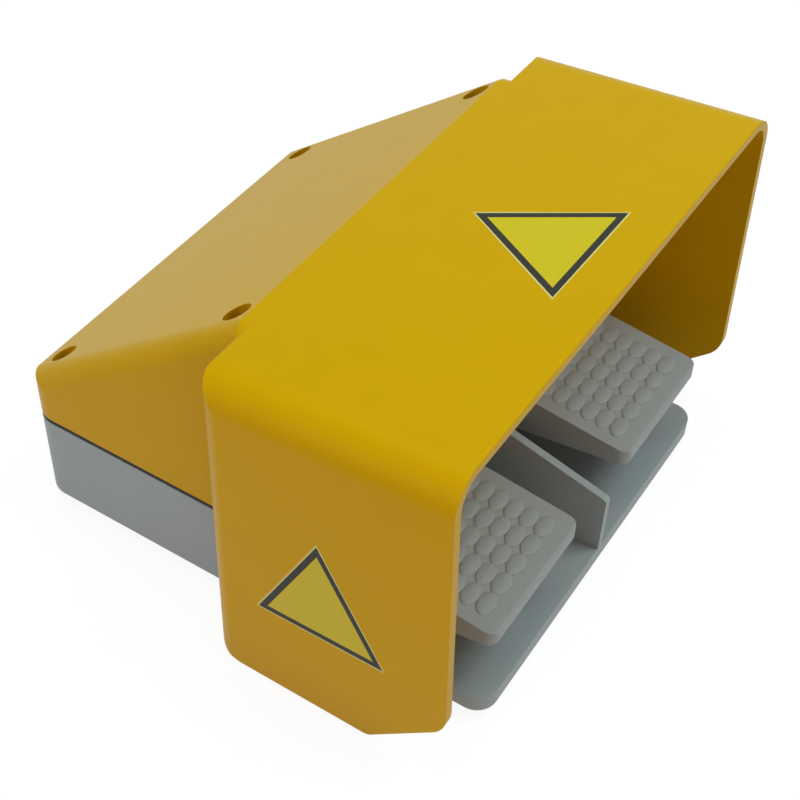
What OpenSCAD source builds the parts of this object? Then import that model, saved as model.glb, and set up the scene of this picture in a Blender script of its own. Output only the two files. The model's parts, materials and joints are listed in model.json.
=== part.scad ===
// Two-pedal industrial foot switch under a moulded guard.
// Millimetres, +Z up. X runs across the pedals, +Y points away from the operator,
// and the origin lies on the floor below the middle of the overall outline.

/* [Base] */
// Width of the switch box at the rear of the base
base_w = 169.4; // [164:0.2:176]
// Length of the base from its front lip to its rear wall
base_l = 192.2; // [186:0.2:200]
// Length of the switch box behind the guard
box_l = 98.1; // [96:0.1:104]
// Height of the base from its underside to the cover seam
base_h = 37.7; // [37:0.1:42]
// Distance by which the tray's sides lie inside the box's sides
tray_inset = 2.2; // [1.2:0.1:3]
// Height of the tray's outer lip
tray_h = 7; // [6.5:0.1:8]
// Wall thickness of the base and of the cover
wall = 3.5; // [3:0.1:4]
// Thickness of the floor of the tray and box
floor_t = 3; // [2.6:0.1:3.4]
// Plan radius of the rear corners
corner_r = 10; // [8:0.5:12]
// Plan radius of the tray's front corners
tray_r = 8; // [5:0.5:10]
// Thickness of the web between the pedals
web_t = 3; // [2.4:0.1:4]
// Height of the web above the floor at its front edge
web_h = 26; // [22:0.5:30]
// Slope of the web's top edge in degrees
web_tilt = 15; // [10:0.5:18]
// Thickness of the ribs under the floor
rib_t = 2.4; // [2:0.1:3]

/* [Guard] */
// Overall width of the guard
guard_w = 215; // [208:1:228]
// Depth of the guard along its top
guard_l = 88.9; // [84:0.1:92]
// Height of the guard's front edge above the floor
guard_h = 140; // [136:0.5:146]
// How far the guard's top falls towards the rear
guard_fall = 7.2; // [4:0.2:9]
// How far the cheeks' front edges lean forward at the bottom
guard_rake = 3.6; // [1:0.2:5]
// Clearance of the cheeks above the floor
cheek_gap = 1; // [0.6:0.1:2]
// Radius between the guard's top and its cheeks
side_r = 12.5; // [9:0.5:15]
// Radius of the guard's rear top edge
edge_r = 1.2; // [0.6:0.1:3]
// Radius of the cheeks' upright rear edges
cheek_r = 8; // [5:0.5:10]
// Radius of the cheeks' rear lower corners
heel_r = 12; // [8:0.5:16]
// Length of the bevel at the cheeks' lower front corners
bevel_l = 29; // [24:0.5:34]
// Height of the bevel at the cheeks' lower front corners
bevel_h = 27; // [22:0.5:32]
// Radius between the bevel and the cheeks' front edge
toe_r = 14; // [8:0.5:16]

/* [Sloped cover] */
// Flat ledge behind the guard before the slope starts
ledge = 3.5; // [2.5:0.1:6]
// Height of the slope's rear edge above the floor
rear_h = 60.7; // [58:0.1:64]
// Radius along the sides of the slope
slope_r = 8; // [6:0.5:12]
// Radius between the slope and the rear face
rear_r = 1.5; // [1:0.5:6]
// Thickness of the gasket in the seam
gasket_t = 2; // [1.6:0.1:2.4]
// Inset of the gasket from the outer faces
gasket_inset = 0.4; // [0.2:0.1:0.8]

/* [Cover screws] */
// Distance of the cover screws from the side faces
screw_side = 12.4; // [12:0.1:14]
// Distance of the rear cover screws from the rear face
screw_rear = 9; // [8.6:0.1:12]
// Distance of the front cover screws behind the guard's rear face
screw_front = 9.9; // [9.2:0.1:12]
// Radius of the screw pockets
pocket_r = 4.6; // [4.4:0.05:5]
// Wall around each screw pocket
pocket_wall = 2.2; // [1.8:0.1:2.6]
// Thickness of the pocket floor under the screw head
pocket_floor = 6; // [4:0.5:8]
// Radius of the cover screws
screw_r = 2.5; // [2:0.1:2.8]
// Length of the cover screws below the head
screw_l = 22; // [18:0.5:26]

/* [Pedals] */
// Distance of each pedal's inner edge from the middle
pedal_in = 18.5; // [17.5:0.5:20]
// Distance of the pedals' front edge behind the base's front lip
pedal_set = 2.2; // [1:0.1:5]
// Height of the pedals' top at their front edge
pedal_h = 42.8; // [42:0.1:45]
// Rise of the pedals towards the rear in degrees
pedal_tilt = 6.8; // [5:0.1:7.5]
// Height of the pedals' front lip
lip_h = 6; // [5:0.1:7]
// Thickness of the pedals' plate and skirts
pedal_t = 3.2; // [2.8:0.1:3.6]
// Plan radius of the pedals' front corners
pedal_r = 4; // [2:0.5:6]
// Swing of the pedals from rest to the stop in degrees
swing = 12; // [8:0.5:12.5]

/* [Axle] */
// Radius of the pedal axle
axle_r = 4; // [3.5:0.1:4.4]
// Distance of the axle in front of the guard's rear face
axle_set = 16; // [15.7:0.1:17.4]
// Height of the axle above the floor
axle_h = 34; // [33.6:0.1:34.6]
// Wall of the plastic bushes
bush_t = 1.5; // [1.2:0.1:1.8]
// Wall of the hub around the bushes
hub_t = 2.2; // [2:0.1:2.8]
// Length of each bush inside the hub
bush_l = 9; // [7:0.5:12]
// Thickness of bush flanges, washers and circlips
flange_t = 1; // [0.8:0.1:1.1]
// Radial clearance of turning and sliding fits
fit = 0.04; // [0.03:0.01:0.08]
// Clearance between faces that pass each other
gap = 0.2; // [0.15:0.05:0.3]

/* [Switching] */
// Distance from the axle to the actuator behind it
arm_l = 24; // [23:0.2:25]
// Width of each pedal's rear arm
arm_w = 14; // [12:0.5:16]
// Thickness of each pedal's rear arm
arm_t = 8; // [7:0.2:8.4]
// Radius of the plungers
plunger_r = 3; // [2.6:0.1:3.2]
// Radius of the plungers' heads
plunger_head_r = 4.5; // [4:0.1:5]
// Clearance between the contact blocks and the screw towers
block_gap = 2.5; // [2:0.1:4]
// Length of the contact blocks
block_l = 36; // [34:0.5:38]
// Height of the contact blocks' shoulders
block_h = 22; // [20:0.5:24]
// Thickness of the bracket plate
plate_t = 2; // [1.5:0.1:2.5]
// Height of the bracket's folded lip
plate_lip = 10; // [8:0.5:11]
// Height of the bracket plate above the floor
plate_h = 50; // [49:0.5:52]

/* [Springs and buffers] */
// Mean radius of the return springs
spring_r = 6.4; // [6.2:0.1:7]
// Wire radius of the return springs
wire_r = 0.8; // [0.6:0.05:0.9]
// Number of turns of the return springs
spring_turns = 6; // [5:1:7]
// Distance of the springs in front of the axle
spring_set = 24; // [22:0.5:26]
// Distance of the stop buffers in front of the axle
stop_set = 60; // [56:0.5:62]
// Radius of the stop buffers
stop_r = 6; // [5:0.5:7]
// Thickness of the rubber buffers
buffer_t = 4; // [3:0.2:5]

/* [Small screws] */
// Radius of the posts under the bracket
post_r = 4.5; // [4.2:0.1:5]
// Radius of the bracket's screws
post_screw_r = 1.6; // [1.3:0.05:1.7]
// Length of the bracket's screws below the head
post_screw_l = 12; // [9:0.5:14]
// Radius of the screws through the contact blocks
block_screw_r = 1.45; // [1.2:0.05:1.5]
// Radius of the terminal screws
clamp_screw_r = 1.5; // [1.2:0.1:1.6]
// Height of the terminal screws' heads
clamp_head_h = 2.2; // [1.8:0.1:2.6]

/* [Feet and fixings] */
// Height of the rubber feet
foot_h = 5; // [4.6:0.1:5.4]
// Radius of the rubber feet
foot_r = 8; // [7:0.5:9]
// Radius of the floor fixing holes
fixing_r = 2.75; // [2.5:0.05:3.2]
// Spacing of the floor fixing holes across the pedals
fixing_w = 120; // [116:1:124]
// Spacing of the floor fixing holes along the pedals
fixing_l = 122; // [118:1:126]
// Radius of the cable entry hole
entry_r = 10; // [9:0.5:10.5]

/* [Hidden] */
$fn = 64;

yellow = [0.80, 0.62, 0.03];
grey = [0.50, 0.52, 0.52];
pedal_grey = [0.55, 0.55, 0.54];
steel = [0.72, 0.73, 0.75];
black = [0.08, 0.08, 0.08];
ivory = [0.86, 0.84, 0.76];
brass = [0.78, 0.62, 0.30];
big = 300;
// Hair by which surfaces that run into each other are set apart
hair = 0.03;

// Clearance between the axle's circlips and the walls
wall_gap = 0.3;
tray_w = base_w - 2 * tray_inset;
// Pedals fill the room left by a bush flange, a washer and a circlip
pedal_w = base_w / 2 - wall - wall_gap - 3 * flange_t - 2 * gap - pedal_in;
ribs_across = 5;
ribs_along = 4;

// Places along Y
rear_y = base_l / 2;
front_y = rear_y - base_l;
guard_y = rear_y - box_l;
guard_front_y = guard_y - guard_l;
slope_y = guard_y + ledge;
pedal_front_y = front_y + pedal_set;
axle_y = guard_y - axle_set;
arm_y = axle_y + arm_l;
spring_y = axle_y - spring_set;
stop_y = axle_y - stop_set;
screw_xs = [-1, 1];
screw_ys = [guard_y + screw_front, rear_y - screw_rear];
screw_x = base_w / 2 - screw_side;

// Places along Z
under_z = foot_h;
floor_z = foot_h + tray_h;
seam_z = foot_h + base_h;
cover_z = seam_z + gasket_t;
guard_rear_h = guard_h - guard_fall;
fall = atan(guard_fall / guard_l);
slope_z = guard_rear_h - ledge * tan(fall);
slope = atan((slope_z - rear_h) / (rear_y - slope_y));
seat_z = cover_z + pocket_floor;

// Pedal parts
pedal_x = pedal_in + pedal_w / 2;
hub_r = axle_r + bush_t + hub_t;
bush_r = axle_r + bush_t;
pedal_rear_y = guard_y - wall - 1.7;
arm_z = axle_h - arm_t / 2;
dome_r = 4;
dome_z = axle_h + arm_t / 2 - 1;
dome_top = dome_z + dome_r;
seat_up_z = top_z(spring_y) - pedal_t - 1.5;
seat_low_z = floor_z + 2;
spigot_r = spring_r - wire_r - 0.3;
stop_boss_r = 4;
stop_boss_z = top_z(stop_y) - pedal_t - 6;
// Height of the lower edge of the stop boss at full swing, and the buffer below it
stop_z = axle_h - stop_set * sin(swing) + (stop_boss_z - axle_h) * cos(swing)
    - stop_boss_r * sin(swing) - gap;
rest_y = arm_y + 10;
rest_r = 4;
rest_z = axle_h - arm_t / 2 - gap;
plunger_z = dome_top + gap;
plunger_travel = arm_l * swing * PI / 180;
plunger_l = plate_h + plate_t + 8 - plunger_z;
block_y = arm_y - 5.5;
block_z = plate_h + plate_t;
block_w = 2 * (screw_x - pocket_r - pocket_wall - block_gap - pedal_x);
block_low_h = block_h - 6;
block_high_h = block_h + 6;
divider_t = 2;
block_screw_x = block_w / 2 - 4;
block_screw_y = 6;
block_mid_y = block_y + block_l / 2;
clamp_x = block_w * 0.24;
clamp_w = block_w * 0.24;
clamp_ys = [block_y + 4.5, block_y + block_l - 4.5];
post_xs = [pedal_x - block_w / 2 - post_r - 3.5, pedal_x + block_w / 2 + post_r + 0.5];
post_ys = [arm_y - 1, arm_y + 20];
entry_z = floor_z + entry_r + 5;
lug_front_y = axle_y - 8;
circlip_x = base_w / 2 - wall - wall_gap - flange_t;
washer_x = circlip_x - gap - flange_t;
earth_y = rear_y - 44;
foot_x = tray_w / 2 - foot_r - 4;
fixing_mid_y = -0.5;
foot_ys = [front_y + foot_r + 6, rear_y - foot_r - 6];
fixing_ys = [fixing_mid_y - fixing_l / 2, fixing_mid_y + fixing_l / 2];

function top_z(y) = pedal_h + (y - pedal_front_y) * tan(pedal_tilt);
function unit(v) = v / norm(v);
function turned(a) = a > 180 ? a - 360 : a < -180 ? a + 360 : a;

// Points that round the corner p between a and b with radius r
function round_corner(a, p, b, r, n) =
    let (u = unit(a - p), v = unit(b - p), half = acos(u * v) / 2,
         centre = p + unit(u + v) * r / sin(half),
         from = p + u * r / tan(half) - centre,
         to = p + v * r / tan(half) - centre,
         start = atan2(from[1], from[0]),
         sweep = turned(atan2(to[1], to[0]) - start))
    [for (i = [0:n]) centre + r * [cos(start + sweep * i / n), sin(start + sweep * i / n)]];

// Outline through the points, each with its own corner radius, zero for a sharp one
function rounded(points, radii, n = 9) =
    let (count = len(points))
    [for (i = [0:count - 1])
        each radii[i] <= 0 ? [points[i]] :
            round_corner(points[(i + count - 1) % count], points[i],
                points[(i + 1) % count], radii[i], n)];

// Side outline in Y and Z, extruded across X about the middle
module across(width, x = 0) {
    translate([x - width / 2, 0, 0]) rotate([90, 0, 90]) linear_extrude(width) children();
}

// Upright outline with round top corners, its top edge at y = 0
module round_top(width, height, r) {
    translate([-width / 2 + r, -height]) square([width - 2 * r, height]);
    translate([-width / 2, -height]) square([width, height - r]);
    for (s = [-1, 1]) translate([s * (width / 2 - r), -r]) circle(r);
}

// A bar whose top runs through the point (y, z) and rises to the front by angle a
module bar_along(y, z, a, width, r) {
    translate([0, y, z]) rotate([90 - a, 0, 0]) translate([0, 0, -big])
        linear_extrude(2 * big) round_top(width, big, r);
}

module column(x, y, z, r, h) {
    translate([x, y, z]) cylinder(r = r, h = h);
}

// Plan of the switch box, drawn in by a margin and reaching forward
module box_plan(margin, reach = 0) {
    w = base_w - 2 * margin;
    r = max(corner_r - margin, 0.5);
    front = guard_y - wall + margin - reach;
    rear = rear_y - margin;
    translate([-w / 2, front]) square([w, rear - r - front]);
    translate([-w / 2 + r, front]) square([w - 2 * r, rear - front]);
    for (s = [-1, 1]) translate([s * (w / 2 - r), rear - r]) circle(r);
}

// Plan of the tray with its round front corners, drawn in by a margin
module tray_plan(margin) {
    w = tray_w - 2 * margin;
    r = tray_r - margin;
    front = front_y + margin;
    translate([-w / 2, front + r]) square([w, guard_y - front - r]);
    translate([-w / 2 + r, front]) square([w - 2 * r, guard_y - front]);
    for (s = [-1, 1]) translate([s * (w / 2 - r), front + r]) circle(r);
}

// Side walls that run forward as lugs for the axle
module axle_lugs() {
    for (s = [-1, 1])
        across(wall, s * (base_w - wall) / 2) difference() {
            polygon(rounded([[guard_y, under_z], [guard_y, seam_z],
                [lug_front_y, seam_z], [lug_front_y - 12, under_z]], [0, 0, 7, 0]));
            translate([axle_y, axle_h]) circle(axle_r + fit);
        }
}

module web() {
    top_rear = floor_z + web_h + (guard_y - wall - gap - front_y) * tan(web_tilt);
    across(web_t) difference() {
        polygon(rounded([[front_y, under_z], [front_y, floor_z + web_h],
            [guard_y - wall - gap, top_rear], [guard_y - wall - gap, under_z]], [0, 2, 3, 0]));
        translate([axle_y, axle_h]) circle(axle_r + fit);
    }
}

module base_ribs() {
    for (i = [1:ribs_across])
        translate([tray_w * (i / (ribs_across + 1) - 0.5) - rib_t / 2, front_y + wall / 2,
            under_z + 0.6]) cube([rib_t, base_l - wall, tray_h - 1]);
    for (i = [1:ribs_along])
        translate([-tray_w / 2 + wall / 2, front_y + base_l * i / (ribs_along + 1),
            under_z + 0.6]) cube([tray_w - wall, rib_t, tray_h - 1]);
}

module base_tray() {
    color(grey) difference() {
        union() {
            // floor with a downturned lip all round
            difference() {
                translate([0, 0, under_z]) linear_extrude(tray_h) union() {
                    box_plan(0);
                    tray_plan(0);
                }
                translate([0, 0, under_z - 1]) linear_extrude(tray_h - floor_t + 1) union() {
                    box_plan(wall);
                    translate([0, wall * 2]) tray_plan(wall);
                    tray_plan(wall);
                }
            }
            base_ribs();
            // walls of the switch box
            translate([0, 0, floor_z - 1]) linear_extrude(base_h - tray_h + 1) difference() {
                box_plan(0);
                box_plan(wall);
            }
            axle_lugs();
            web();
            // posts for cover screws, bracket, springs and buffers
            for (s = screw_xs) {
                for (y = screw_ys)
                    column(s * screw_x, y, under_z + tray_h - floor_t,
                        screw_r + 3.5, base_h - tray_h + floor_t);
                for (i = [0, 1])
                    column(s * post_xs[i], post_ys[i], floor_z - 1, post_r,
                        plate_h - floor_z + 1);
                column(s * pedal_x, rest_y, floor_z - 1, rest_r + 1.5,
                    rest_z - buffer_t - floor_z + 1);
                column(s * pedal_x, stop_y, floor_z - 1, stop_r + 1.5,
                    stop_z - buffer_t - floor_z + 1);
                column(s * pedal_x, spring_y, floor_z - 1, spring_r + wire_r + 1, 3);
                column(s * pedal_x, spring_y, floor_z - 1, spigot_r, 9);
                for (y = foot_ys) column(s * foot_x, y, under_z, foot_r, tray_h - 1);
                for (y = fixing_ys)
                    column(s * fixing_w / 2, y, under_z + 0.6, fixing_r + 3.5, tray_h + 1.4);
            }
            column(0, earth_y, floor_z - 1, 6, 9);
            // boss of the cable entry
            translate([0, rear_y - wall - 5, entry_z]) rotate([-90, 0, 0])
                cylinder(r = entry_r + 4, h = wall + 4);
        }
        // notches that let the pedal arms into the box
        for (s = screw_xs) {
            translate([s * pedal_x - arm_w / 2 - 1.5, guard_y - wall - 1, arm_z - 2.5])
                cube([arm_w + 3, wall + 2, seam_z]);
            for (y = screw_ys)
                column(s * screw_x, y, seam_z - screw_l, screw_r - 0.35, screw_l + 1);
            for (i = [0, 1])
                column(s * post_xs[i], post_ys[i], plate_h - post_screw_l,
                    post_screw_r + 0.1, post_screw_l + 1);
            column(s * pedal_x, rest_y, rest_z - buffer_t - 5, 2, 6);
            column(s * pedal_x, stop_y, stop_z - buffer_t - 3, 2, 4);
            for (y = foot_ys) column(s * foot_x, y, under_z - 1, 3, 5);
            for (y = fixing_ys)
                column(s * fixing_w / 2, y, under_z - 1, fixing_r, tray_h + 4);
        }
        column(0, earth_y, floor_z - 1, 1.8, 10);
        translate([0, rear_y - wall - 6, entry_z]) rotate([-90, 0, 0])
            cylinder(r = entry_r, h = wall + 7);
    }
}

// Side outline of the guard, with the bevelled and rounded cheek
function guard_outline() =
    let (low_y = guard_front_y - guard_rake)
    rounded([[guard_y, cheek_gap], [guard_y, guard_rear_h], [guard_front_y, guard_h],
        [low_y, cheek_gap + bevel_h], [low_y + bevel_l, cheek_gap]],
        [heel_r, edge_r, 0.8, toe_r, 5]);

// Plan of the guard with its rounded rear edges, drawn in by a margin
module guard_plan(margin) {
    half = guard_w / 2 + hair - margin;
    r = cheek_r - margin;
    rear = guard_y - margin;
    translate([-half, rear - r - big]) square([2 * half, big]);
    translate([r - half, rear - big]) square([2 * (half - r), big]);
    for (s = [-1, 1]) translate([s * (half - r), rear - r]) circle(r);
}

module guard_outside() {
    intersection() {
        across(guard_w + 2) polygon(guard_outline());
        bar_along(guard_y, guard_rear_h + hair, fall, guard_w, side_r);
        translate([0, 0, -1]) linear_extrude(big) guard_plan(0);
    }
}

// The space for the feet, open at the front and below
module foot_space() {
    intersection() {
        translate([0, 0, -1]) linear_extrude(big) guard_plan(wall);
        bar_along(guard_y, guard_rear_h - wall, fall, guard_w - 2 * wall, side_r - wall);
    }
}

// Side outline of the sloped cover, drawn in by a margin and reaching forward
function slope_outline(margin, reach) =
    let (front = guard_y - wall - reach - 1, drop = margin / cos(slope),
         rear = rear_y - margin - hair)
    rounded([[front, 0], [front, guard_h], [slope_y, guard_h], [slope_y, slope_z - drop],
        [rear, rear_h - drop + margin * tan(slope)], [rear, 0]],
        [0, 0, 0, 0, max(rear_r - margin, 0.5), 0]);

// Outside of the sloped cover, or its hollow when drawn in by a margin
module slope_body(margin, reach = 0) {
    w = base_w - 2 * margin;
    r = slope_r - margin;
    intersection() {
        translate([0, 0, margin > 0 ? cover_z - 1 : cover_z])
            linear_extrude(guard_h) box_plan(margin, reach);
        bar_along(guard_y, guard_rear_h - margin - 2 * hair, fall, w + 9 * hair, r);
        bar_along(slope_y, slope_z + hair - margin / cos(slope), slope, w + 2 * hair, r);
        across(base_w + 2) polygon(slope_outline(margin, reach));
    }
}

module guard_cover() {
    color(yellow) difference() {
        union() {
            guard_outside();
            slope_body(0, edge_r + 3);
        }
        foot_space();
        // opening in the partition that clears the base
        translate([-base_w / 2 - 0.6, guard_y - wall - 1, -1])
            cube([base_w + 1.2, wall + 2, cover_z + 1]);
        // hollow over the switch box, around the screw towers
        difference() {
            slope_body(wall);
            for (s = screw_xs) for (y = screw_ys)
                column(s * screw_x, y, 0, pocket_r + pocket_wall, big);
        }
        for (s = screw_xs) for (y = screw_ys) {
            column(s * screw_x, y, seat_z, pocket_r, big);
            column(s * screw_x, y, cover_z - 1, screw_r + 0.3, pocket_floor + 2);
        }
    }
}

module cover_gasket() {
    tab_r = screw_r + 3.2;
    tab_l = screw_side - wall / 2;
    tab_w = 2 * screw_r + 1;
    color(black) difference() {
        translate([0, 0, seam_z]) linear_extrude(gasket_t) union() {
            difference() {
                box_plan(gasket_inset);
                box_plan(wall - gasket_inset);
            }
            for (s = screw_xs) for (y = screw_ys) {
                translate([s * screw_x, y]) circle(tab_r);
                translate([s * (screw_x + tab_l / 2) - tab_l / 2, y - tab_w / 2])
                    square([tab_l, tab_w]);
            }
        }
        for (s = screw_xs) for (y = screw_ys)
            column(s * screw_x, y, seam_z - 1, screw_r + 0.3, gasket_t + 2);
    }
}

// Socket head screw standing on z = 0, its shank below
module socket_screw(r, length, head_r, head_h) {
    difference() {
        cylinder(r = head_r, h = head_h);
        translate([0, 0, head_h * 0.4]) cylinder(r = head_r * 0.55, h = head_h, $fn = 6);
    }
    translate([0, 0, -length]) cylinder(r = r, h = length + 0.1);
}

module cover_screws() {
    color(steel) for (s = screw_xs) for (y = screw_ys)
        translate([s * screw_x, y, seat_z])
            socket_screw(screw_r - 0.4, screw_l + pocket_floor + gasket_t - 4,
                pocket_r - 0.4, 4.5);
}

module rubber_feet() {
    color(black) for (s = screw_xs) for (y = foot_ys) {
        translate([s * foot_x, y, 0]) cylinder(r1 = foot_r - 1.5, r2 = foot_r, h = foot_h);
        column(s * foot_x, y, foot_h - 0.1, 2.9, 3.6);
    }
}

// Side outline of a pedal, its underside running down to the hub
module pedal_side() {
    z_rear = top_z(pedal_rear_y);
    z_front = top_z(pedal_front_y);
    polygon(rounded([[pedal_front_y, z_front], [pedal_rear_y, z_rear],
        [axle_y + hub_r * 0.9, axle_h], [axle_y, axle_h - hub_r],
        [pedal_front_y, z_front - lip_h]], [1.2, 1, 3, 2, 0.8]));
}

// Side outline of the bays under a pedal, open below and behind the front lip
module pedal_bay() {
    y = pedal_front_y + pedal_t;
    polygon([[y, 0], [y, top_z(y) - pedal_t], [axle_y, top_z(axle_y) - pedal_t], [axle_y, 0]]);
}

module pedal_shell(x) {
    bay_w = (pedal_w - 2 * pedal_t - 2 * rib_t) / 3;
    difference() {
        intersection() {
            across(pedal_w, x) pedal_side();
            translate([x, pedal_front_y, 0]) rotate([0, 0, 180]) linear_extrude(big)
                round_top(pedal_w, big, pedal_r);
        }
        for (i = [-1:1]) across(bay_w, x + i * (bay_w + rib_t)) pedal_bay();
    }
}

module pedal(s) {
    x = s * pedal_x;
    color(pedal_grey) difference() {
        union() {
            pedal_shell(x);
            // spring seat and stop boss below the plate
            column(x, spring_y, seat_up_z, spring_r + wire_r + 1,
                top_z(spring_y) - 1.5 - seat_up_z);
            column(x, spring_y, seat_up_z - 3, spigot_r - 1.8, 4);
            column(x, stop_y, stop_boss_z, stop_boss_r, top_z(stop_y) - 1.5 - stop_boss_z);
            across(pedal_w, x) translate([axle_y, axle_h]) circle(hub_r);
            // rear arm that works the plunger
            translate([x - arm_w / 2, axle_y, arm_z])
                cube([arm_w, arm_l + 14, arm_t]);
        }
        across(pedal_w + 2, x) translate([axle_y, axle_h]) circle(bush_r + fit / 2);
        column(x, arm_y, arm_z - 1, 2.5, arm_t + 2);
    }
}

// Flanged bushes at both ends of a pedal's hub
module bushes(s) {
    color(black) for (side = [-1, 1])
        translate([s * pedal_x + side * (pedal_w / 2 - bush_l), axle_y, axle_h])
            rotate([0, side * 90, 0]) difference() {
                union() {
                    cylinder(r = bush_r, h = bush_l);
                    translate([0, 0, bush_l + 0.02]) cylinder(r = hub_r, h = flange_t - 0.1);
                    translate([0, 0, bush_l - 1]) cylinder(r = bush_r, h = 1.5);
                }
                translate([0, 0, -1]) cylinder(r = axle_r + fit, h = bush_l + flange_t + 2);
            }
}

module pedal_axle() {
    color(steel) difference() {
        translate([-base_w / 2 + 0.3, axle_y, axle_h]) rotate([0, 90, 0])
            cylinder(r = axle_r, h = base_w - 0.6);
        for (s = screw_xs)
            translate([s * (circlip_x + flange_t / 2), axle_y, axle_h]) rotate([0, 90, 0])
                difference() {
                    cylinder(r = axle_r + 1, h = flange_t + 0.1, center = true);
                    cylinder(r = axle_r - 0.6, h = flange_t + 1, center = true);
                }
    }
}

// Ring around the axle, from x0 to x1 on one side
module axle_ring(s, x0, x1, inner, outer) {
    translate([s * (x0 + x1) / 2, axle_y, axle_h]) rotate([0, 90, 0]) difference() {
        cylinder(r = outer, h = x1 - x0, center = true);
        cylinder(r = inner, h = x1 - x0 + 1, center = true);
    }
}

module axle_spacers() {
    color(steel) for (s = screw_xs)
        axle_ring(s, web_t / 2 + gap, pedal_in - flange_t - gap, axle_r + 0.06, axle_r + 2);
}

module axle_washers() {
    color(steel) for (s = screw_xs)
        axle_ring(s, washer_x, washer_x + flange_t, axle_r + 0.06, hub_r - 1);
}

module axle_circlips() {
    color(steel) for (s = screw_xs) difference() {
        axle_ring(s, circlip_x, circlip_x + flange_t, axle_r - 0.55, axle_r + 2.4);
        translate([s * circlip_x - 3, axle_y - 1.6, axle_h - 12]) cube([6, 3.2, 10]);
    }
}

// Tube swept along a helix between two heights
function coil_ring(angle, z) =
    [for (i = [0:7]) let (a = i * 45)
        [cos(angle) * (spring_r + wire_r * cos(a)), sin(angle) * (spring_r + wire_r * cos(a)),
         z + wire_r * sin(a)]];

module coil(x, y, z0, z1) {
    steps = spring_turns * 14;
    points = [for (i = [0:steps])
        each coil_ring(i * 360 / 14, z0 + wire_r + (z1 - z0 - 2 * wire_r) * i / steps)];
    sides = [for (i = [0:steps - 1]) for (j = [0:7])
        [i * 8 + j, i * 8 + (j + 1) % 8, (i + 1) * 8 + (j + 1) % 8, (i + 1) * 8 + j]];
    translate([x, y, 0]) polyhedron(points,
        concat(sides, [[for (j = [7:-1:0]) j]], [[for (j = [0:7]) steps * 8 + j]]));
}

module spring(s) {
    color(steel) coil(s * pedal_x, spring_y, seat_low_z + gap / 2, seat_up_z - gap / 2);
}

module set_screw(s) {
    color(steel) translate([s * pedal_x, arm_y, 0]) {
        translate([0, 0, arm_z - 5]) cylinder(r = 2.45, h = dome_z - arm_z + 5);
        intersection() {
            translate([0, 0, dome_z]) sphere(dome_r);
            translate([0, 0, dome_z + 1.2]) cylinder(r = dome_r, h = dome_r);
        }
        translate([0, 0, dome_z]) cylinder(r = 2.45, h = 1.4);
    }
}

module set_nut(s) {
    color(steel) translate([s * pedal_x, arm_y, arm_z - 3.2]) difference() {
        cylinder(r = 4.4, h = 3.1, $fn = 6);
        translate([0, 0, -1]) cylinder(r = 2.5, h = 6);
    }
}

// Mushroom buffer with its head on z = 0 upwards
module buffer(x, y, z, r) {
    column(x, y, z - buffer_t, r, buffer_t);
    column(x, y, z - buffer_t - 2.6, 1.9, 3);
}

module stop_buffers() {
    color(black) for (s = screw_xs) buffer(s * pedal_x, stop_y, stop_z, stop_r);
}

module rest_buffers() {
    color(black) for (s = screw_xs) buffer(s * pedal_x, rest_y, rest_z, rest_r);
}

module block_bracket() {
    y0 = block_y - 1;
    l = block_l + 4;
    half = post_xs[1] + post_r + 1.5;
    color(steel) difference() {
        union() {
            translate([-half, y0, plate_h]) cube([2 * half, l, plate_t]);
            translate([-half, y0 + l - plate_t, plate_h - plate_lip])
                cube([2 * half, plate_t, plate_lip]);
        }
        // clear of the towers of the front cover screws
        for (s = screw_xs)
            column(s * screw_x, screw_ys[0], plate_h - 1, pocket_r + pocket_wall + 1, plate_t + 2);
        for (s = screw_xs) {
            column(s * pedal_x, arm_y, plate_h - 1, plunger_r + 0.8, plate_t + 2);
            for (i = [0, 1])
                column(s * post_xs[i], post_ys[i], plate_h - 1, post_screw_r + 0.3,
                    plate_t + 2);
            for (d = [-1, 1])
                column(s * pedal_x + d * block_screw_x, block_mid_y + d * block_screw_y,
                    plate_h - 1, block_screw_r + 0.05, plate_t + 2);
        }
    }
}

module bracket_screws() {
    color(steel) for (s = screw_xs) for (i = [0, 1])
        translate([s * post_xs[i], post_ys[i], block_z])
            socket_screw(post_screw_r, post_screw_l, 2 * post_screw_r, 1.6 * post_screw_r);
}

module contact_block(s) {
    x = s * pedal_x;
    color(ivory) difference() {
        union() {
            translate([x - block_w / 2, block_y, block_z])
                cube([block_w, block_l, block_low_h]);
            translate([x - block_w / 2, block_y + 9, block_z])
                cube([block_w, block_l - 18, block_high_h]);
            // walls between the terminals
            for (d = [-1, 0, 1])
                translate([x + (d * (block_w - divider_t) - divider_t) / 2, block_y, block_z])
                    cube([divider_t, block_l, block_h]);
        }
        column(x, arm_y, block_z - 1, plunger_r + fit, plunger_travel + 10);
        for (d = [-1, 1]) {
            column(x + d * block_screw_x, block_mid_y + d * block_screw_y,
                block_z - 1, block_screw_r + 0.15, block_high_h + 2);
            for (y = clamp_ys)
                column(x + d * clamp_x, y, block_z + block_low_h - 6, clamp_screw_r + 0.1, 8);
        }
    }
}

module block_screws() {
    color(steel) for (s = screw_xs) for (d = [-1, 1])
        translate([s * pedal_x + d * block_screw_x, block_mid_y + d * block_screw_y,
            block_z + block_high_h])
            socket_screw(block_screw_r, block_high_h + plate_t, 1.9 * block_screw_r,
                1.4 * block_screw_r);
}

module plunger(s) {
    color(black) {
        column(s * pedal_x, arm_y, plunger_z, plunger_head_r, 2);
        column(s * pedal_x, arm_y, plunger_z + 1, plunger_r, plunger_l - 1);
    }
}

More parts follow.
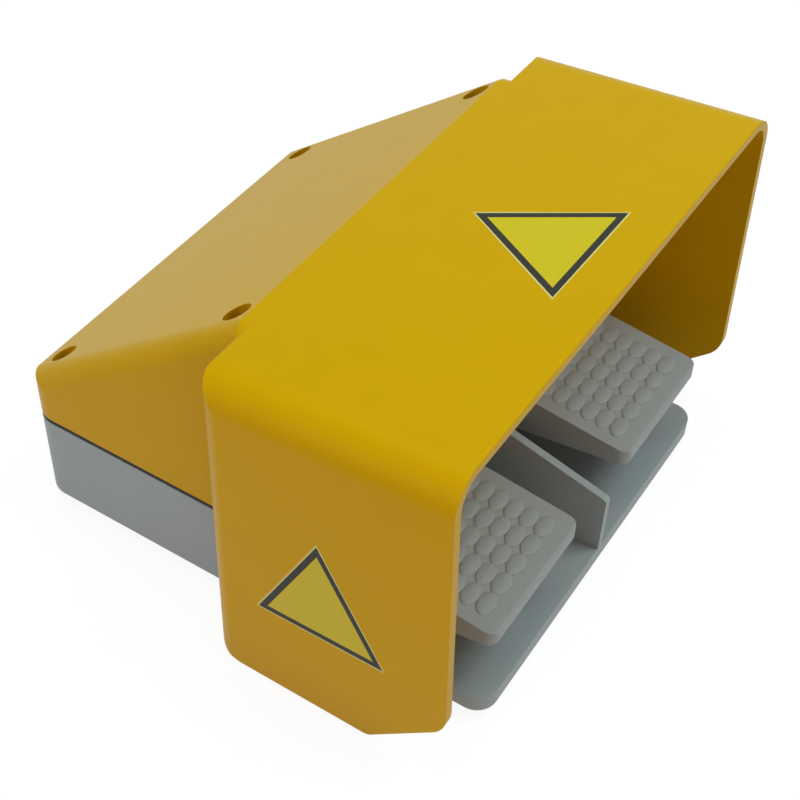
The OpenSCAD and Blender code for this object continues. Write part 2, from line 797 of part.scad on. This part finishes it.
module terminal_screws() {
    color(brass) for (s = screw_xs) for (d = [-1, 1])
        for (y = clamp_ys)
            translate([s * pedal_x + d * clamp_x, y, block_z + block_low_h]) {
                difference() {
                    translate([0, 0, 0.9]) cylinder(r = clamp_w * 0.4, h = clamp_head_h);
                    translate([-clamp_w / 2, -0.4, clamp_head_h - 0.2])
                        cube([clamp_w, 0.8, 2]);
                }
                translate([-clamp_w / 2, -3.2, 0]) cube([clamp_w, 6.4, 1]);
                translate([0, 0, -5]) cylinder(r = clamp_screw_r, h = 5.5);
            }
}

module earth_terminal() {
    color(brass) translate([0, earth_y, floor_z + 8]) {
        cylinder(r = 4.6, h = 1);
        difference() {
            translate([0, 0, 0.9]) cylinder(r = 3.6, h = 2.6);
            translate([-4, -0.5, 2.4]) cube([8, 1, 2]);
        }
        translate([0, 0, -7]) cylinder(r = 1.7, h = 7.5);
    }
}

base_tray();
guard_cover();
cover_gasket();
cover_screws();
rubber_feet();
pedal(-1);  // pedal_left
pedal(1);  // pedal_right
bushes(-1);  // bushes_left
bushes(1);  // bushes_right
pedal_axle();
axle_spacers();
axle_washers();
axle_circlips();
spring(-1);  // spring_left
spring(1);  // spring_right
set_screw(-1);  // set_screw_left
set_screw(1);  // set_screw_right
set_nut(-1);  // set_nut_left
set_nut(1);  // set_nut_right
stop_buffers();
rest_buffers();
block_bracket();
bracket_screws();
contact_block(-1);  // contact_block_left
contact_block(1);  // contact_block_right
block_screws();
plunger(-1);  // plunger_left
plunger(1);  // plunger_right
terminal_screws();
earth_terminal();
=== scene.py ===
"""Two-pedal industrial foot switch: finishes, stickers, pedal treads, lights and camera."""

import json
import math

import bmesh
import bpy
from mathutils import Matrix, Vector

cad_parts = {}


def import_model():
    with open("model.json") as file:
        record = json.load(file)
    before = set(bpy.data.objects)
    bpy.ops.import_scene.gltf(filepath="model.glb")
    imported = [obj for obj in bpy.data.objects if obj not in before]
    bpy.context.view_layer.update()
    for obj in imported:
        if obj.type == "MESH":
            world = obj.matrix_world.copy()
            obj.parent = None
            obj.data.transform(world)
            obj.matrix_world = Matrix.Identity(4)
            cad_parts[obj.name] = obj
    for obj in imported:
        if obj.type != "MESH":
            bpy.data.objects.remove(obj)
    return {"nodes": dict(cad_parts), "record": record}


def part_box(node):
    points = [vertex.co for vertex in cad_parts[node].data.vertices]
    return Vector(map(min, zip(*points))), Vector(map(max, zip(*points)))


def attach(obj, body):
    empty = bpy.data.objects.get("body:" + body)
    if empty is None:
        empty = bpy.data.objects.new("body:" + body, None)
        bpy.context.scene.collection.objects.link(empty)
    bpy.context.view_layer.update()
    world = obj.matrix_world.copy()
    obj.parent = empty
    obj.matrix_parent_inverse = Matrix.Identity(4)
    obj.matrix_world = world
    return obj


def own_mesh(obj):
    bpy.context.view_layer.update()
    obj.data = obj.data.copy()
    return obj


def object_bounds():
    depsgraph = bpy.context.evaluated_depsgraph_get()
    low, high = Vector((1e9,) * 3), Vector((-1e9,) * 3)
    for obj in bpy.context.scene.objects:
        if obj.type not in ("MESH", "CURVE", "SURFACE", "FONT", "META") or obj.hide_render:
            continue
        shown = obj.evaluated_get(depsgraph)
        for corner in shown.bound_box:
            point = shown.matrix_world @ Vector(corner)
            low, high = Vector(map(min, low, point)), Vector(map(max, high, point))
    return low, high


MM = 0.001

# Camera: place, lens and sensor in millimetres, angles in degrees, nearest and farthest in metres
CAMERA_AT = (-346.125, -213.744, 444.482)
CAMERA_AZIMUTH = 59.367
CAMERA_DOWN = 45.285
CAMERA_ROLL = 2.578
CAMERA_LENS = 68.94
CAMERA_SENSOR = 36.0
CAMERA_NEAR = 0.01
CAMERA_FAR = 20.0

# Guard and pedals, as in the part
GUARD_RAKE = 3.6 * MM
GUARD_FALL = 7.2 / 88.9
PEDAL_TOP = 42.8 * MM
PEDAL_TILT = math.radians(6.8)

# Stickers: tip, left and right corner of the black border, as (x, y) on the guard's top and as
# (y, z) on its left cheek, in millimetres
TOP_CORNERS = ((2.9, -32.2), (-22.8, -74.6), (27.3, -74.6))
CHEEK_CORNERS = ((-45.6, 86.2), (-22.5, 41.4), (-70.6, 41.4))
STICKER_THICKNESS = 0.06 * MM
STICKER_LIFT = 0.03 * MM
STICKER_RIM = 0.6 * MM
STICKER_BORDER = 2.3 * MM
STICKER_CORNER = 0.8 * MM
STICKER_CORNER_STEPS = 4

# Pedal treads: the block that is smoothed into one lozenge, how its top is drawn in and raised,
# and the rows of lozenges
LOZENGE_BLOCK = (22.5 * MM, 14.2 * MM, 1.9 * MM)
LOZENGE_DEPTH = 0.5
LOZENGE_TOP_SHARE = 0.45
LOZENGE_RAISE = 0.3
LOZENGE_SMOOTHING = 3
LOZENGE_PITCH_X = 9.75 * MM
LOZENGE_PITCH_Y = 6.07 * MM
TREAD_COLUMNS = 5
TREAD_ROWS = 11
TREAD_MARGIN = 8.9 * MM
TREAD_SMOOTH_ANGLE = math.radians(50)

# Linear colours
COVER_YELLOW = (0.735, 0.408, 0.0012)
COVER_SHEEN = (1.0, 0.80, 0.20)
BASE_GREY = (0.376, 0.420, 0.432)
PEDAL_GREY = (0.385, 0.405, 0.410)
RUBBER = (0.012, 0.012, 0.013)
BEARING = (0.016, 0.016, 0.018)
STEEL = (0.52, 0.53, 0.55)
IVORY = (0.70, 0.66, 0.55)
BRASS = (0.60, 0.40, 0.14)
STICKER_YELLOW = (0.720, 0.560, 0.004)
STICKER_BLACK = (0.016, 0.016, 0.010)
STICKER_PAPER = (0.78, 0.66, 0.20)
FLOOR_PALE = (0.6, 0.6, 0.6)
WHITE = (1.0, 1.0, 1.0)

# Surface texture
MOTTLE_SCALE, MOTTLE_DETAIL = 60.0, 3.0
SPREAD_SCALE, SPREAD_DETAIL = 140.0, 2.0
BUMP_DETAIL = 2.0
BUMP_DEPTH = 0.2 * MM

# Lamps: name, place and width in metres, power in watts, colour. All aim at the object's middle.
LAMPS = (
    ("key", (0.45, -0.75, 1.5), 0.8, 10.8, (0.84, 1.0, 1.0)),
    ("top", (0.1, 0.25, 1.7), 0.9, 9.9, (0.82, 1.0, 0.92)),
    ("left", (-1.3, 0.35, 0.6), 0.9, 4.6, (1.0, 0.93, 0.94)),
    ("front left", (-0.9, -1.1, 0.5), 0.8, 2.8, (1.0, 0.70, 0.56)),
)
LAMP_TARGET = (0.0, 0.0, 0.06)
WORLD_LIGHT = 0.12

# Floor: the strength of its own light and that light's share in what the lens sees, the rest
# being lamplight and shadow
FLOOR_GLOW = 1.22
FLOOR_GLOW_SHARE = 0.75
FLOOR_ROUGHNESS = 0.9
FLOOR_SIZE = 40.0
FLOOR_DROP = 0.2 * MM


# Shader maths ------------------------------------------------------------------------------

class Value:
    """A shader output. A number output takes part in plain arithmetic."""

    def __init__(self, tree, socket):
        self.tree, self.socket = tree, socket

    def __add__(self, other):
        return maths(self.tree, "ADD", self, other)

    def __radd__(self, other):
        return maths(self.tree, "ADD", other, self)

    def __sub__(self, other):
        return maths(self.tree, "SUBTRACT", self, other)

    def __rsub__(self, other):
        return maths(self.tree, "SUBTRACT", other, self)

    def __mul__(self, other):
        return maths(self.tree, "MULTIPLY", self, other)

    def __rmul__(self, other):
        return maths(self.tree, "MULTIPLY", other, self)

    def clamped(self):
        return maths(self.tree, "ADD", self, 0.0, clamp=True)


def feed(tree, slots, sockets):
    """Links each named socket to a Value, or sets its constant."""
    found = {slot.identifier: slot for slot in slots}
    for name, value in sockets.items():
        if isinstance(value, Value):
            tree.links.new(value.socket, found[name])
        else:
            found[name].default_value = value


def add_node(tree, kind, settings, sockets):
    """A new node: its settings are set first, then its sockets."""
    node = tree.nodes.new(kind)
    for name, value in settings.items():
        setattr(node, name, value)
    feed(tree, node.inputs, sockets)
    return node


def maths(tree, operation, first, second, clamp=False):
    """One Math node on two terms, each a Value or a number."""
    node = add_node(tree, "ShaderNodeMath", {"operation": operation, "use_clamp": clamp},
                    {"Value": first, "Value_001": second})
    return Value(tree, node.outputs["Value"])


def opaque(colour):
    return (*colour, 1.0)


def grain(tree, scale, detail):
    """Soft noise from 0 to 1 on the object's own coordinates."""
    place = add_node(tree, "ShaderNodeTexCoord", {}, {})
    noise = add_node(tree, "ShaderNodeTexNoise", {},
                     {"Vector": Value(tree, place.outputs["Object"]), "Scale": scale, "Detail": detail})
    return Value(tree, noise.outputs[0])


def mottled(tree, colour, mottle):
    """The colour, a little darker and lighter in soft patches."""
    dark = [c * (1 - mottle) for c in colour]
    light = [min(1.0, c * (1 + mottle)) for c in colour]
    mix = add_node(tree, "ShaderNodeMix", {"data_type": "RGBA"},
                   {"Factor_Float": grain(tree, MOTTLE_SCALE, MOTTLE_DETAIL),
                    "A_Color": opaque(dark), "B_Color": opaque(light)})
    return Value(tree, next(out for out in mix.outputs if out.identifier == "Result_Color"))


def finish_material(name, colour, roughness, metallic=0.0, bump=0.0, bump_scale=900.0,
                    mottle=0.0, spread=0.0, level=0.5, tint=WHITE):
    """A finish with slight colour mottling, varied roughness and a fine bumped texture."""
    material = bpy.data.materials.new(name)
    material.use_nodes = True
    tree = material.node_tree
    sockets = {"Base Color": opaque(colour), "Roughness": roughness, "Metallic": metallic,
               "Specular IOR Level": level, "Specular Tint": opaque(tint)}
    if mottle:
        sockets["Base Color"] = mottled(tree, colour, mottle)
    if spread:
        uneven = grain(tree, SPREAD_SCALE, SPREAD_DETAIL) - 0.5
        sockets["Roughness"] = (uneven * spread + roughness).clamped()
    if bump:
        relief = add_node(tree, "ShaderNodeBump", {},
                          {"Strength": bump, "Distance": BUMP_DEPTH,
                           "Height": grain(tree, bump_scale, BUMP_DETAIL)})
        sockets["Normal"] = Value(tree, relief.outputs["Normal"])
    feed(tree, tree.nodes["Principled BSDF"].inputs, sockets)
    return material


def slot_materials():
    """The finish of every material slot in the record."""
    return {
        "cover_yellow": finish_material("cover yellow", COVER_YELLOW, 0.38, bump=0.10, level=0.12,
                                        tint=COVER_SHEEN, bump_scale=700.0, mottle=0.03,
                                        spread=0.06),
        "base_grey": finish_material("base grey", BASE_GREY, 0.55, bump=0.2, mottle=0.03),
        "pedal_grey": finish_material("pedal grey", PEDAL_GREY, 0.6, bump=0.25, mottle=0.04),
        "rubber_black": finish_material("rubber black", RUBBER, 0.8, bump=0.2),
        "bearing_black": finish_material("bearing black", BEARING, 0.4),
        "zinc_steel": finish_material("zinc steel", STEEL, 0.32, metallic=1.0, spread=0.15),
        "block_ivory": finish_material("block ivory", IVORY, 0.45),
        "terminal_brass": finish_material("terminal brass", BRASS, 0.3, metallic=1.0),
    }


def sticker_materials():
    """The sticker's blank face, its black border and the paper rim round it, from inside out."""
    return [finish_material("sticker yellow", STICKER_YELLOW, 0.4, level=0.25),
            finish_material("sticker black", STICKER_BLACK, 0.5, level=0.25),
            finish_material("sticker paper", STICKER_PAPER, 0.4)]


# Pieces ------------------------------------------------------------------------------------

def start_piece(name, materials):
    """Names the primitive that was just added and gives it its materials."""
    obj = bpy.context.active_object
    obj.name = name
    obj.data.name = name
    for material in materials:
        obj.data.materials.append(material)
    return obj


def finish_piece(obj, place, body):
    """Puts the mesh in its place with the object at the origin and lets it ride."""
    obj.data.transform(place)
    obj.matrix_world = Matrix.Identity(4)
    obj.data.update()
    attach(obj, body)
    obj.select_set(False)


def apply_modifier(obj, kind, **settings):
    modifier = obj.modifiers.new(kind.lower(), kind)
    for name, value in settings.items():
        setattr(modifier, name, value)
    bpy.ops.object.modifier_apply(modifier=modifier.name)


def select_vertices(obj, wanted):
    """In edit mode, selects only the vertices that the test wants."""
    bpy.ops.mesh.select_mode(type="VERT")
    bpy.ops.mesh.select_all(action="DESELECT")
    mesh = bmesh.from_edit_mesh(obj.data)
    for vertex in mesh.verts:
        vertex.select = wanted(vertex.co)
    mesh.select_flush(True)
    bmesh.update_edit_mesh(obj.data)


def sticker(name, corners, materials):
    """A blank triangular sticker; the corners are those of its black border, in metres."""
    tip, left, right = corners
    centre = (tip + left + right) / 3
    normal = (left - tip).cross(right - tip).normalized()
    up = (tip - centre).normalized()
    reach = (tip - centre).length
    bpy.ops.mesh.primitive_circle_add(vertices=3, radius=reach + 2 * STICKER_RIM, fill_type="NGON")
    obj = start_piece(name, materials)
    bpy.ops.object.mode_set(mode="EDIT")
    bpy.ops.mesh.select_all(action="SELECT")
    bpy.ops.mesh.inset(thickness=STICKER_RIM)
    bpy.ops.mesh.inset(thickness=STICKER_BORDER)
    bpy.ops.object.mode_set(mode="OBJECT")
    for face in obj.data.polygons:
        far = max(obj.data.vertices[i].co.length for i in face.vertices)
        face.material_index = (far > reach - STICKER_BORDER) + (far > reach + STICKER_RIM)
    bpy.ops.object.mode_set(mode="EDIT")
    select_vertices(obj, lambda co: co.length > reach + STICKER_RIM)
    bpy.ops.mesh.bevel(offset=STICKER_CORNER, segments=STICKER_CORNER_STEPS, affect="VERTICES")
    bpy.ops.object.mode_set(mode="OBJECT")
    apply_modifier(obj, "SOLIDIFY", thickness=STICKER_THICKNESS, offset=1.0)
    turn = Matrix((up.cross(normal), up, normal)).transposed().to_4x4()
    widen = (right - left).length / (reach * math.sqrt(3))
    place = (Matrix.Translation(centre + normal * STICKER_LIFT) @ turn
             @ Matrix.Diagonal((widen, 1.0, 1.0, 1.0)))
    finish_piece(obj, place, "root")


def stickers(materials):
    """One sticker on the guard's top and one on its left cheek."""
    low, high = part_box("guard_cover")
    front = low.y + GUARD_RAKE

    def on_top(x, y):
        return Vector((x * MM, y * MM, high.z - (y * MM - front) * GUARD_FALL))

    def on_cheek(y, z):
        return Vector((low.x, y * MM, z * MM))

    sticker("sticker_top", [on_top(*corner) for corner in TOP_CORNERS], materials)
    sticker("sticker_cheek", [on_cheek(*corner) for corner in CHEEK_CORNERS], materials)


def tread(side, material):
    """Rows of low soft lozenges moulded on a pedal's plate."""
    low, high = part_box("pedal_" + side)
    bpy.ops.mesh.primitive_cylinder_add(vertices=4, radius=0.5, depth=LOZENGE_DEPTH)
    obj = start_piece("tread_" + side, [material])
    bpy.ops.object.mode_set(mode="EDIT")
    select_vertices(obj, lambda co: co.z > 0.0)
    bpy.ops.transform.resize(value=(LOZENGE_TOP_SHARE, LOZENGE_TOP_SHARE, 1.0))
    bpy.ops.transform.translate(value=(0.0, 0.0, LOZENGE_RAISE))
    bpy.ops.object.mode_set(mode="OBJECT")
    obj.data.transform(Matrix.Diagonal((*LOZENGE_BLOCK, 1.0)))
    apply_modifier(obj, "SUBSURF", levels=LOZENGE_SMOOTHING, render_levels=LOZENGE_SMOOTHING)
    for count, step in ((TREAD_COLUMNS, (LOZENGE_PITCH_X, 0.0, 0.0)),
                        (TREAD_ROWS, (0.0, LOZENGE_PITCH_Y, 0.0))):
        apply_modifier(obj, "ARRAY", count=count, use_relative_offset=False,
                       use_constant_offset=True, constant_offset_displace=step)
    bpy.ops.object.shade_smooth_by_angle(angle=TREAD_SMOOTH_ANGLE)
    start = Vector(((low.x + high.x - (TREAD_COLUMNS - 1) * LOZENGE_PITCH_X) / 2,
                    low.y + TREAD_MARGIN, PEDAL_TOP + TREAD_MARGIN * math.tan(PEDAL_TILT)))
    place = Matrix.Translation(start) @ Matrix.Rotation(PEDAL_TILT, 4, "X")
    finish_piece(obj, place, "pedal_" + side)


def shorten_spring(side, frame):
    """Gives a pedal's return spring a mesh of its own."""
    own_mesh(frame["nodes"]["spring_" + side])


# Light, floor and camera ---------------------------------------------------------------------

def make_camera():
    azimuth, down = math.radians(CAMERA_AZIMUTH), math.radians(CAMERA_DOWN)
    roll = math.radians(CAMERA_ROLL)
    forward = Vector((math.sin(azimuth) * math.cos(down), math.cos(azimuth) * math.cos(down),
                      -math.sin(down)))
    right = forward.cross(Vector((0, 0, 1))).normalized()
    up = right.cross(forward)
    right, up = (right * math.cos(roll) + up * math.sin(roll),
                 up * math.cos(roll) - right * math.sin(roll))
    data = bpy.data.cameras.new("camera")
    data.lens, data.sensor_width = CAMERA_LENS, CAMERA_SENSOR
    data.clip_start, data.clip_end = CAMERA_NEAR, CAMERA_FAR
    camera = bpy.data.objects.new("camera", data)
    bpy.context.scene.collection.objects.link(camera)
    turn = Matrix((right, up, -forward)).transposed().to_4x4()
    camera.matrix_world = Matrix.Translation(Vector(CAMERA_AT) * MM) @ turn
    bpy.context.scene.camera = camera


def soft_light(name, place, width, power, colour):
    """A square soft light aimed at the object."""
    data = bpy.data.lights.new(name, "AREA")
    data.shape, data.size = "SQUARE", width
    data.energy, data.color = power, colour
    light = bpy.data.objects.new(name, data)
    bpy.context.scene.collection.objects.link(light)
    aim = Vector(LAMP_TARGET) - Vector(place)
    light.rotation_mode = "QUATERNION"
    light.location = place
    light.rotation_quaternion = aim.to_track_quat("-Z", "Y")


def seen_directly(tree):
    """1 for rays that show a thing itself, in the lens, a mirror or a glass; 0 for its light."""
    path = add_node(tree, "ShaderNodeLightPath", {}, {})
    camera, glossy, clear = (Value(tree, path.outputs[name]) for name in
                             ("Is Camera Ray", "Is Glossy Ray", "Is Transmission Ray"))
    return (camera + glossy + clear).clamped()


def mix_surface(tree, factor, first, second, output):
    """Mixes two shader nodes and makes the mix the output's surface."""
    mix = add_node(tree, "ShaderNodeMixShader", {},
                   {"Fac": factor, "Shader": Value(tree, first.outputs[0]),
                    "Shader_001": Value(tree, second.outputs[0])})
    feed(tree, tree.nodes[output].inputs, {"Surface": Value(tree, mix.outputs[0])})


def make_world():
    """Weak even light from all round, with white behind everything."""
    world = bpy.data.worlds.new("studio")
    world.use_nodes = True
    tree = world.node_tree
    even = tree.nodes["Background"]
    feed(tree, even.inputs, {"Color": opaque(WHITE), "Strength": WORLD_LIGHT})
    white = add_node(tree, "ShaderNodeBackground", {}, {"Color": opaque(WHITE), "Strength": 1.0})
    mix_surface(tree, seen_directly(tree), even, white, "World Output")
    bpy.context.scene.world = world


def make_floor():
    """A pale floor that the camera sees as white, with the object's soft shadow on it."""
    bpy.ops.mesh.primitive_plane_add(size=FLOOR_SIZE, location=(0, 0, -FLOOR_DROP))
    material = bpy.data.materials.new("floor white")
    floor = start_piece("floor", [material])
    material.use_nodes = True
    tree = material.node_tree
    matt = tree.nodes["Principled BSDF"]
    feed(tree, matt.inputs, {"Base Color": opaque(FLOOR_PALE), "Roughness": FLOOR_ROUGHNESS,
                             "Specular IOR Level": 0.0})
    glow = add_node(tree, "ShaderNodeEmission", {}, {"Color": opaque(WHITE), "Strength": FLOOR_GLOW})
    mix_surface(tree, seen_directly(tree) * FLOOR_GLOW_SHARE, matt, glow, "Material Output")


def main():
    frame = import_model()
    bpy.ops.object.select_all(action="DESELECT")
    cad = [v.copy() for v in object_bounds()]
    bpy.context.scene.view_settings.view_transform = "Standard"
    finishes = slot_materials()
    for part in frame["record"]["subparts"]:
        node = frame["nodes"][part["node"]]
        node.data.materials.clear()
        node.data.materials.append(finishes[part["material_slot"]])
    stickers(sticker_materials())
    for side in ("left", "right"):
        tread(side, finishes["pedal_grey"])
        shorten_spring(side, frame)
    make_world()
    for lamp in LAMPS:
        soft_light(*lamp)
    make_floor()
    make_camera()


main()
